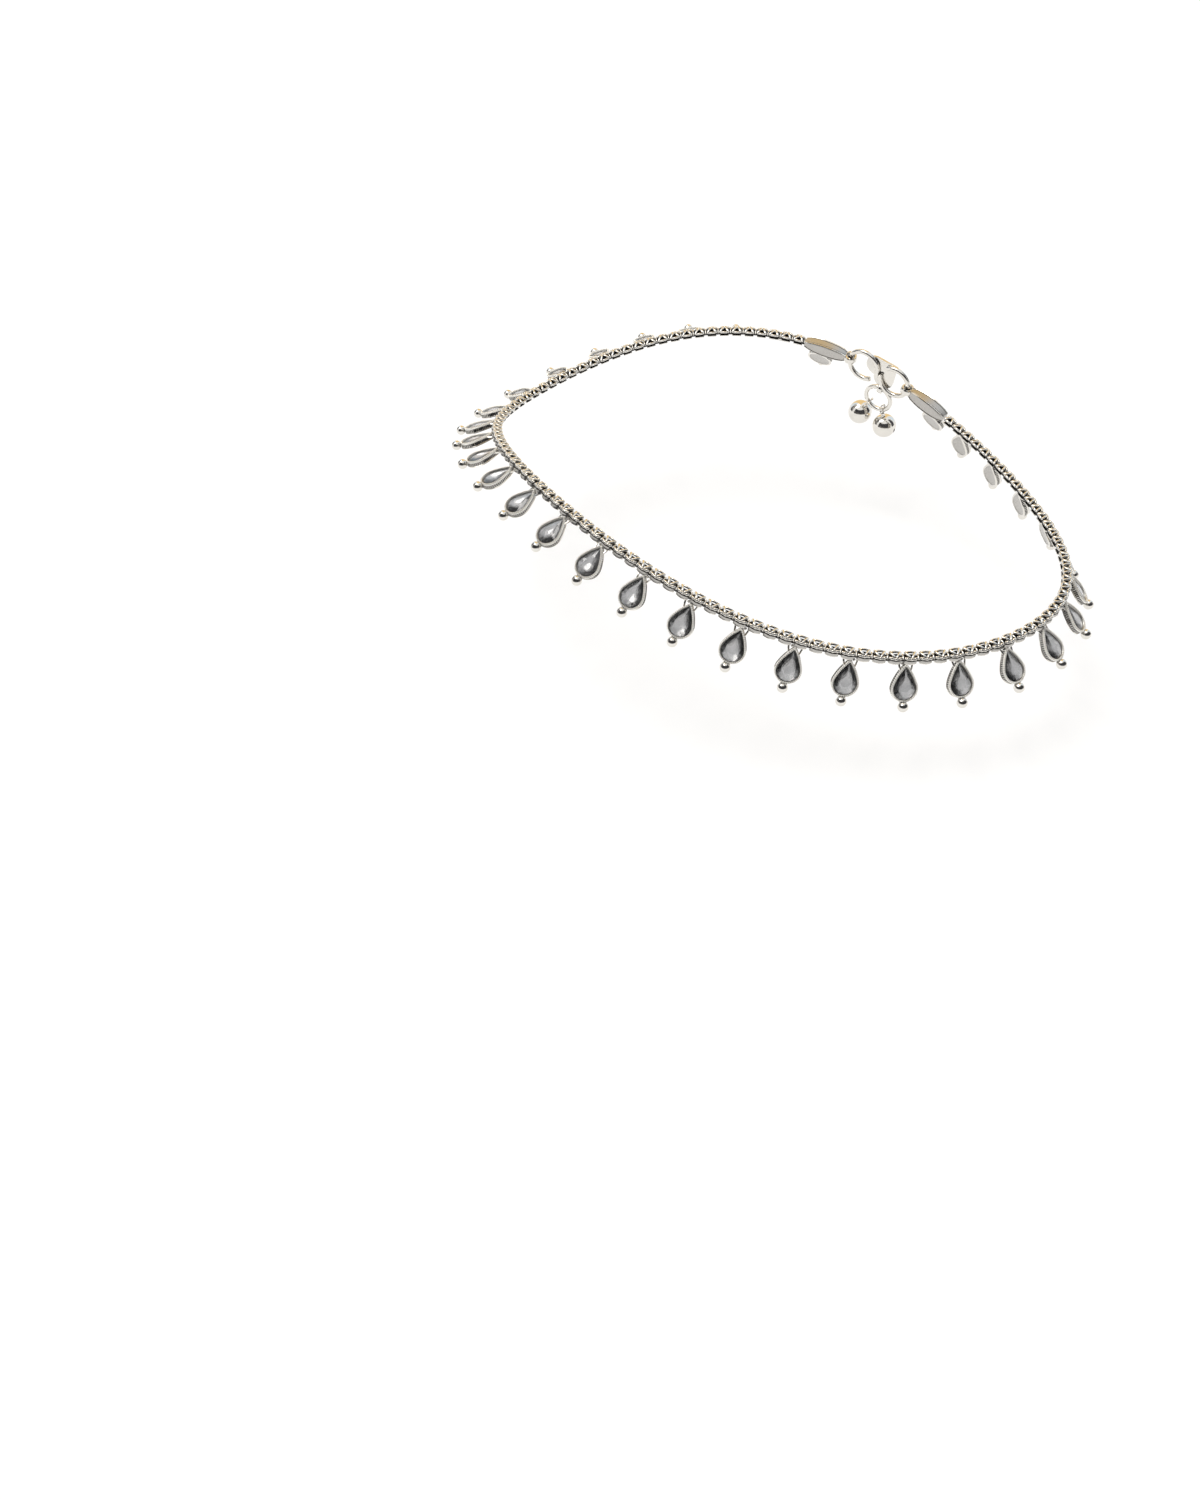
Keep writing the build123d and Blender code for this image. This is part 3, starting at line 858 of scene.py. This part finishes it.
def ring_shape(middle, radius, wire, start, sweep, steps=48):
    """Round wire bent to an arc in the XZ plane, in degrees from +X towards +Z."""
    path = []
    for step in range(steps + 1):
        turn = math.radians(start + sweep * step / steps)
        path.append((middle[0] + radius * math.cos(turn), middle[1], middle[2] + radius * math.sin(turn)))
    shape = Shape()
    if sweep < 360:
        return shape.loft(bar(path, circle(wire, 12), (0, 1, 0), 0.7))
    rings = []
    for (x, y, z), step in zip(path[:-1], range(steps)):
        turn = math.radians(start + sweep * step / steps)
        section = circle(wire, 12)
        rings.append([(x + a * math.cos(turn), y + b, z + a * math.sin(turn)) for a, b in section])
    return shape.closed_loft(rings)


def heart_outline(steps=14):
    """Heart: a square with a half circle on its lower and its near side."""
    lobe = HEART_SIDE / 4
    points = [(3 * lobe, 3 * lobe), (lobe, 3 * lobe)]
    for step in range(steps + 1):
        turn = math.pi / 2 + math.pi * step / steps
        points.append((-lobe + 2 * lobe * math.cos(turn), lobe + 2 * lobe * math.sin(turn)))
    for step in range(1, steps + 1):
        turn = math.pi + math.pi * step / steps
        points.append((lobe + 2 * lobe * math.cos(turn), -lobe + 2 * lobe * math.sin(turn)))
    points.append((3 * lobe, lobe))
    return points


def heart_shape():
    """Bevelled heart plate with a gently domed, dented face."""
    outline = heart_outline()
    edge, dome = (
        [[(x, HEART_BACK + high, z) for x, z in shrunk(outline, share)] for high, share in levels]
        for levels in (HEART_EDGE, HEART_DOME)
    )
    shape = Shape().loft(edge[::-1], caps=(False, True))
    # The domed face takes the blue-tinted silver, a painted cool reflection.
    return shape.loft(dome[::-1], DENTED, caps=(True, False))


def tab_shape():
    """Strip curled round the bell ring, rooted under the heart."""
    middle_z = -3 * HEART_SIDE / 4 - TAB_REACH
    middle_y = HEART_BACK + HEART_THICK / 2
    rings = []
    for step in range(20):
        turn = 2 * math.pi * step / 20
        rings.append([
            (HEART_SIDE / 4 + along, middle_y + r * math.cos(turn), middle_z + r * math.sin(turn))
            for r, along in TAB_SECTION
        ])
    return Shape().closed_loft(rings)


def clasp_shape():
    """Heart, its tab and the two open hook rings."""
    shape = heart_shape().join(tab_shape())
    middle = HOOK_REACH - HOOK_RADIUS
    shape.join(ring_shape((-middle, 0, 0), HOOK_RADIUS, HOOK_WIRE, 0, HOOK_ARC))
    return shape.join(ring_shape((middle, 0, 0), HOOK_RADIUS, HOOK_WIRE, 180, HOOK_ARC))


def bell_ring_middle():
    """Middle of the bell ring in the clasp's frame."""
    lobe = HEART_SIDE / 4
    return Vector((lobe, HEART_BACK + HEART_THICK / 2, -3 * lobe - TAB_REACH - BELL_RING_RADIUS))


def bell_matrix(side):
    """Frame of a bell where it hangs on its ring, Z up its stem."""
    spread = math.radians(side * BELL_SPREAD)
    hung = bell_ring_middle() + Vector((math.sin(spread), 0, -math.cos(spread))) * BELL_RING_RADIUS
    return Matrix.Translation(hung) @ Matrix.Rotation(math.radians(-side * BELL_SPLAY), 4, "Y")


def bell_shape():
    """Ball of two halves with a seam, a collar and a loop of twisted wire."""
    middle = -(BELL_LOOP_RADIUS + BELL_STEM + BELL_RADIUS)
    profile = []
    for level in range(33):
        polar = math.pi * (0.012 + 0.95 * level / 32)
        swell = 0.05 * math.exp(-((polar - math.pi / 2) / 0.035) ** 2)
        radius = BELL_RADIUS + swell
        profile.append((radius * math.sin(polar), middle - radius * math.cos(polar)))
    profile += [(radius, middle + BELL_RADIUS + above) for radius, above in BELL_COLLAR]
    profile.append((BELL_STEM_RADIUS, -BELL_LOOP_RADIUS))
    shape = Shape()
    shape.loft([[(x, y, high) for x, y in circle(radius, 40)] for radius, high in profile])
    for strand in range(LOOP_STRANDS):
        rings = []
        for step in range(60):
            turn = 2 * math.pi * step / 60
            twist = LOOP_TWISTS * turn + math.pi * strand
            radius = BELL_LOOP_RADIUS + LOOP_OFFSET * math.cos(twist)
            away = LOOP_OFFSET * math.sin(twist)
            section = circle(LOOP_WIRE, 7)
            rings.append([
                (away + b, (radius + a) * math.sin(turn), (radius + a) * math.cos(turn)) for a, b in section
            ])
        shape.closed_loft(rings)
    return shape


def slotted(mesh, name):
    """The bell's mesh with the slot cut in its lower half."""
    middle = -(BELL_LOOP_RADIUS + BELL_STEM + BELL_RADIUS)
    half_wide = BELL_SLOT / 2
    cut = Shape()
    corners = [(-3, -half_wide), (3, -half_wide), (3, half_wide), (-3, half_wide)]
    cut.loft([[(x, y, middle + high) for x, y in corners] for high in (-3.0, -0.25)], DARK)
    cutter = bpy.data.objects.new("cutter", mesh_of("cutter", cut))
    body = bpy.data.objects.new(name, mesh)
    for made in (cutter, body):
        bpy.context.scene.collection.objects.link(made)
    change = body.modifiers.new("slot", "BOOLEAN")
    change.object = cutter
    change.operation = "DIFFERENCE"
    found = body.evaluated_get(bpy.context.evaluated_depsgraph_get())
    result = bpy.data.meshes.new_from_object(found)
    for made in (cutter, body):
        bpy.data.objects.remove(made)
    return result


# ================================= assembling ==================================


def repeated(shape, matrices):
    """One shape set at many places."""
    whole = Shape()
    for matrix in matrices:
        whole.join(shape, matrix)
    return whole


BAND_SHARP = 52.0               # angles between faces that stay sharp
DROP_SHARP = 42.0
FACET_SHARP = 1.0

drop_places = [FIRST_DROP + count * DROP_PITCH for count in range(DROP_COUNT)]
drop_frames = []
for drop_place in drop_places:
    side = (drop_place - round(drop_place)) * PITCH
    index = round(drop_place)
    drop_frames.append(link_matrix(index) @ drop_matrix(drop_tilt(index), side))

band = repeated(link_shape(), [link_matrix(index) for index in range(LINK_COUNT)])
piece("ladder_band", mesh_of("ladder_band", band, BAND_SHARP), METALS, ["band_links"])

drop_mesh = mesh_of("pear_drop", pear_drop_shape(), DROP_SHARP)
for number, matrix in enumerate(drop_frames, 1):
    piece(f"pear_drop_{number:02d}", drop_mesh, METALS, [f"drop_{number:02d}"], matrix)

stones = repeated(stone_shape(pear_ring, PEAR_SIDES), drop_frames)
stones_mesh = mesh_of("pear_stones_cut", stones, FACET_SHARP)
piece("pear_stones_cut", stones_mesh, GEMS, ["pear_stones"])

round_stone = stone_shape(round_ring, ROUND_SIDES)
terminal = terminal_shape()
band_end = (CLASP_PLACES / 2 - 0.5) * PITCH
first_end, last_end = CLASP_MIDDLE + band_end, CLASP_MIDDLE - band_end
first_matrix = band_matrix(first_end - TERMINAL_LONG, first_end, 1)
last_matrix = band_matrix(last_end, last_end + TERMINAL_LONG, 0)
for name, matrix, flip in (("first", first_matrix, True), ("last", last_matrix, False)):
    casting = terminal.mirrored() if flip else terminal
    gem = Shape().join(round_stone, round_drop_matrix())
    gem = gem.mirrored() if flip else gem
    casting_mesh = mesh_of(f"{name}_casting", casting)
    piece(f"{name}_casting", casting_mesh, METALS, [f"{name}_terminal"], matrix)
    gem_mesh = mesh_of(f"{name}_gem", gem, FACET_SHARP)
    piece(f"{name}_gem", gem_mesh, GEMS, [f"{name}_stone"], matrix)

clasp_matrix = band_matrix(CLASP_MIDDLE - HOOK_REACH, CLASP_MIDDLE + HOOK_REACH)
clasp_mesh = mesh_of("heart_and_hooks", clasp_shape())
piece("heart_and_hooks", clasp_mesh, METALS, ["heart_clasp"], clasp_matrix)
jump_ring = ring_shape(bell_ring_middle(), BELL_RING_RADIUS, BELL_RING_WIRE, 0, 360, 56)
piece("jump_ring", mesh_of("jump_ring", jump_ring), METALS, ["bell_ring"], clasp_matrix)
bell_mesh = slotted(mesh_of("bell", bell_shape()), "bell")
for name, side in (("front", 1), ("back", -1)):
    matrix = clasp_matrix @ bell_matrix(side)
    piece(f"{name}_bell_ball", bell_mesh, METALS, [f"{name}_bell"], matrix)


# ============================ floor, lights and camera ============================


FLOOR_HALF = 3.0                # metres, as are the cards' and the camera's places
FLOOR_BELOW = 0.012
SHADE = (0.05, 0.05, 0.06)
COOL_CARD = (0.80, 0.93, 1.06)
WARM_CARD = (1.02, 0.74, 0.36)


def stage_plane():
    """Wide pale floor under the anklet."""
    low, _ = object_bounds()
    half = FLOOR_HALF
    corners = [(-half, -half), (half, -half), (half, half), (-half, half)]
    mesh = bpy.data.meshes.new("floor")
    mesh.from_pydata([(x, y, low[2] - FLOOR_BELOW) for x, y in corners], [], [(0, 1, 2, 3)])
    floor = bpy.data.objects.new("floor", mesh)
    bpy.context.scene.collection.objects.link(floor)
    floor.data.materials.append(floor_material())


def floor_material():
    """White floor that shows white and keeps a soft shadow."""
    material = bpy.data.materials.new("white_floor")
    graph = Graph(material)
    speck = graph.noise(900.0, 2.0)
    paper = graph.blend(speck, colour(0.90, 0.90, 0.90), colour(0.93, 0.93, 0.93))
    inputs = {
        "Base Color": paper, "Roughness": 0.8, "Specular IOR Level": 0.1,
        "Emission Color": colour(1.0, 1.0, 1.0), "Emission Strength": graph.backdrop() * 0.12,
    }
    shader = graph.node("ShaderNodeBsdfPrincipled", {}, inputs)
    graph.node("ShaderNodeOutputMaterial", {}, {0: shader.outputs[0]})
    return material


def studio_world():
    """White round the anklet, with even light."""
    world = bpy.data.worlds.new("studio")
    bpy.context.scene.world = world
    graph = Graph(world)
    strength = 0.70 + graph.backdrop() * 0.30
    shade = graph.node("ShaderNodeBackground", {}, {"Color": colour(1.0, 1.0, 1.0), "Strength": strength})
    graph.node("ShaderNodeOutputWorld", {}, {0: shade.outputs[0]})


def key_light():
    """Wide soft key from above the near left."""
    lamp = bpy.data.lights.new("key", "SUN")
    lamp.energy = 1.3
    lamp.angle = math.radians(40)
    lamp.color = (1.0, 0.97, 0.93)
    made = bpy.data.objects.new("key", lamp)
    made.rotation_euler = Vector((0.45, 0.30, -1.0)).to_track_quat("-Z", "Y").to_euler()
    bpy.context.scene.collection.objects.link(made)


def reflector(name, bearing, half_bearing, low, high, shade, reach=0.8, soft=0.0):
    """Curved card round the anklet that only polished metal and stones show.

    Bearings are in degrees from +X towards +Y, and low and high are its edges above the horizon.
    soft is the share of each half over which the card fades to white."""
    across, rise = 24, 8
    corners, faces, tints = [], [], []
    for step in range(across + 1):
        turn = math.radians(bearing + half_bearing * (2 * step / across - 1))
        for level in range(rise + 1):
            lift = math.radians(low + (high - low) * level / rise)
            flat = reach * math.cos(lift)
            corners.append((flat * math.cos(turn), flat * math.sin(turn), reach * math.sin(lift)))
            edge = 1 - max(abs(2 * step / across - 1), abs(2 * level / rise - 1))
            full = min(edge / soft, 1.0) if soft else 1.0
            tints += [1 + full * (part - 1) for part in shade] + [1.0]
    for step in range(across):
        for level in range(rise):
            first = step * (rise + 1) + level
            faces.append((first, first + rise + 1, first + rise + 2, first + 1))
    mesh = bpy.data.meshes.new(name)
    mesh.from_pydata(corners, [], faces)
    card = bpy.data.objects.new(name, mesh)
    bpy.context.scene.collection.objects.link(card)
    mesh.color_attributes.new("tint", "FLOAT_COLOR", "POINT").data.foreach_set("color", tints)

    def glow(graph):
        tint = graph.node("ShaderNodeVertexColor", {"layer_name": "tint"}).outputs[0]
        return {"Base Color": colour(0.02, 0.02, 0.02), "Roughness": 1.0, "Specular IOR Level": 0.0,
                "Emission Color": tint, "Emission Strength": 1.0}

    card.data.materials.append(surface(name, glow))
    card.visible_camera = False
    card.visible_diffuse = False
    card.visible_shadow = False
    card.visible_transmission = False


stage_plane()
studio_world()
key_light()
reflector("near_shade", -60, 75, -6, 46, (0.04, 0.04, 0.045), 0.16)
reflector("left_shade", 192, 16, -2, 60, SHADE)
reflector("right_shade", 32, 16, -2, 60, SHADE)
reflector("cool_card", 73, 16, 0, 60, COOL_CARD, soft=0.4)
reflector("warm_card", 120, 30, -4, 88, WARM_CARD, soft=0.15)
reflector("cool_card_far", 163, 12, 0, 60, COOL_CARD, soft=0.4)

camera = bpy.data.objects.new("camera", bpy.data.cameras.new("camera"))
bpy.context.scene.collection.objects.link(camera)
bpy.context.scene.camera = camera
camera.location = (0.10218, -0.19025, 0.11985)
camera.rotation_euler = (math.radians(90 - 40.329), 0.0, math.radians(36.136))
camera.data.lens = 33.6
camera.data.sensor_width = 36.0
camera.data.clip_start = 0.01

bpy.context.scene.view_settings.view_transform = "Standard"
